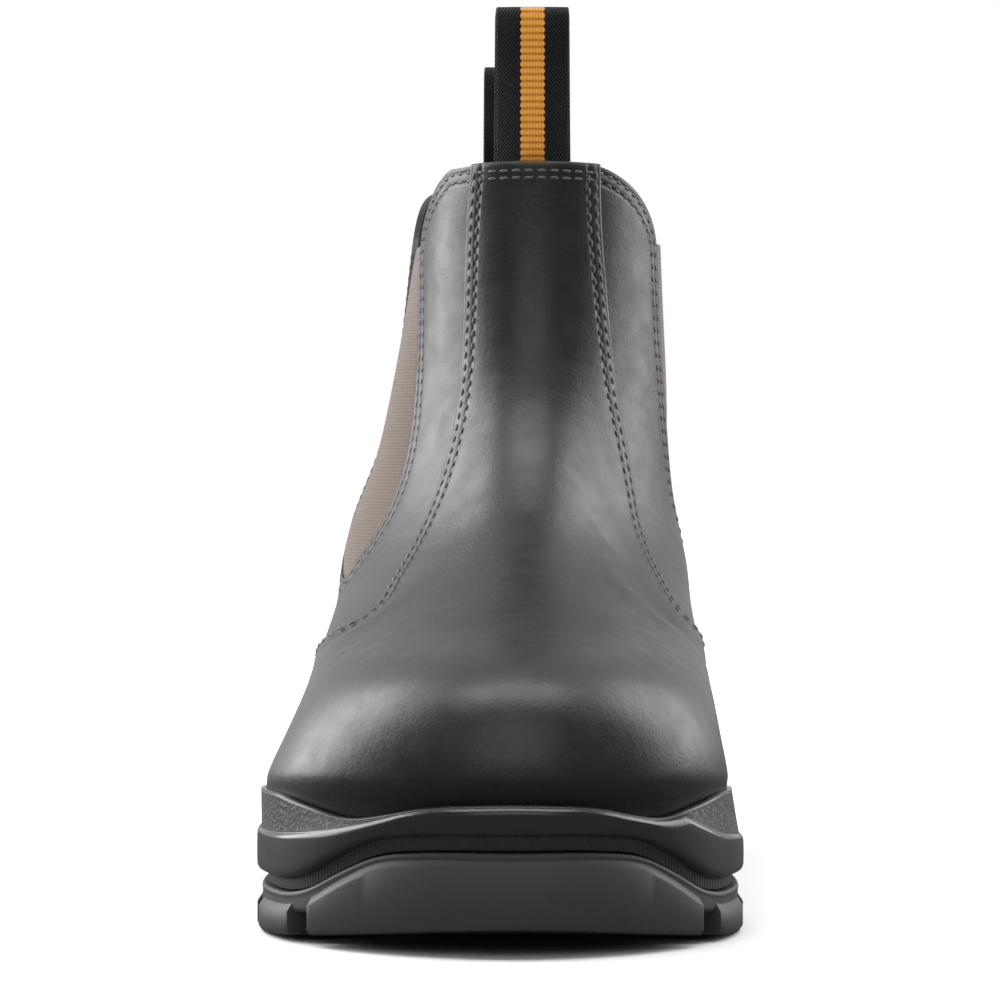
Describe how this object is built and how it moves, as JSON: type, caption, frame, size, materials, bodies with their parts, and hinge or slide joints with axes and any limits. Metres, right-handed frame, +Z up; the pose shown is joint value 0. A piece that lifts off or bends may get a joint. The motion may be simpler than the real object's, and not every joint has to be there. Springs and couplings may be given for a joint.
{
  "type": "side gore work boot",
  "caption": "Ankle-high pull-on work boot for the right foot: black leather upper, taupe elastic side panels, webbing pull loops and a lugged sole with a raised toe bumper.",
  "frame": {"origin": "on the floor, under the centre of the boot's bounding box", "axes": "+Z up, +Y from toe to heel, +X from the little toe side to the big toe side"},
  "size_m": [0.1141, 0.308, 0.2248],
  "materials": {
    "outsole_rubber": "moulded black rubber, satin on the bumper and dull between the lugs",
    "midsole_polyurethane": "moulded black polyurethane, satin with a pebbled band and a ribbed groove",
    "foot_bed": "dark grey brushed textile over foam",
    "upper_leather": "black waxed full grain leather, semi-matt",
    "gore_elastic": "taupe ribbed elastic",
    "loop_webbing": "black woven webbing with an orange centre stripe"
  },
  "bodies": {
    "root": {"outsole": "outsole_rubber", "midsole": "midsole_polyurethane", "insole": "foot_bed", "upper": "upper_leather", "gore_lateral": "gore_elastic", "gore_medial": "gore_elastic", "pull_loop_front": "loop_webbing", "pull_loop_rear": "loop_webbing"}
  },
  "joints": []
}
